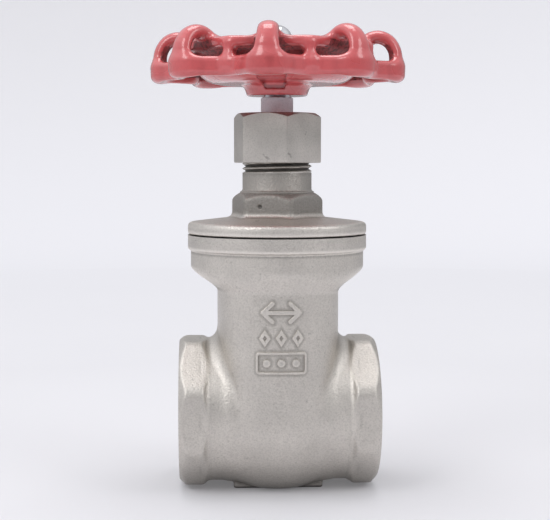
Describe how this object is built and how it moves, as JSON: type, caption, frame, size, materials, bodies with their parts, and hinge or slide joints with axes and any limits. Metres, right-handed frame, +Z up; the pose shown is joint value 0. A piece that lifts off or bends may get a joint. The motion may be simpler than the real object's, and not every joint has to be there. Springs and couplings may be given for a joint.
{
  "type": "gate valve",
  "caption": "Gate valve with threaded octagonal ends, screwed bonnet, packing nut and arched handwheel; turning the wheel screws a wedge up or down across the bore.",
  "frame": {"origin": "centre of the foot pad's underside, on the stem axis", "axes": "+Z up along the stem, +X along the flow axis towards the outlet end, -Y towards the side with the flow arrow"},
  "size_m": [0.0954, 0.0954, 0.1758],
  "materials": {
    "cast_steel": "blasted investment-cast stainless, satin",
    "machined_steel": "turned and milled stainless, semi-bright",
    "polished_steel": "polished stainless",
    "red_coating": "glossy dipped coating over a casting",
    "packing": "PTFE",
    "gasket": "graphite fibre sheet, dull"
  },
  "bodies": {
    "valve": {"valve_body": "cast_steel", "bonnet": "cast_steel", "bonnet_gasket": "gasket", "lower_thrust_washer": "packing", "upper_thrust_washer": "packing", "packing_base_ring": "machined_steel", "packing_ring_1": "packing", "packing_ring_2": "packing", "packing_ring_3": "packing", "packing_ring_4": "packing", "packing_ring_5": "packing"},
    "spindle": {"stem": "machined_steel", "handwheel": "red_coating", "wheel_washer": "machined_steel", "spring_washer": "machined_steel", "dome_nut": "polished_steel"},
    "gate": {"wedge": "machined_steel"},
    "gland": {"gland_follower": "machined_steel"},
    "gland_nut": {"packing_nut": "machined_steel"}
  },
  "joints": [
    {"name": "wheel_turn", "type": "hinge", "parent": "valve", "child": "spindle", "pos_m": [0, 0, 0.1], "axis": [0, 0, 1], "range_deg": [0, 5040]},
    {"name": "wedge_lift", "type": "slide", "parent": "valve", "child": "gate", "axis": [0, 0, 1], "range_m": [0, 0.0421]},
    {"name": "nut_tighten", "type": "hinge", "parent": "gland", "child": "gland_nut", "pos_m": [0, 0, 0.13], "axis": [0, 0, -1], "range_deg": [0, 540]},
    {"name": "gland_press", "type": "slide", "parent": "valve", "child": "gland", "axis": [0, 0, -1], "range_m": [0, 0.00273], "deforming": ["packing_ring_1", "packing_ring_2", "packing_ring_3", "packing_ring_4", "packing_ring_5"]}
  ],
  "couplings": [
    {"joint": "wedge_lift", "follows": "wheel_turn", "m_per_rad": 0.00047746},
    {"joint": "gland_press", "follows": "nut_tighten", "m_per_rad": 0.00028876}
  ]
}
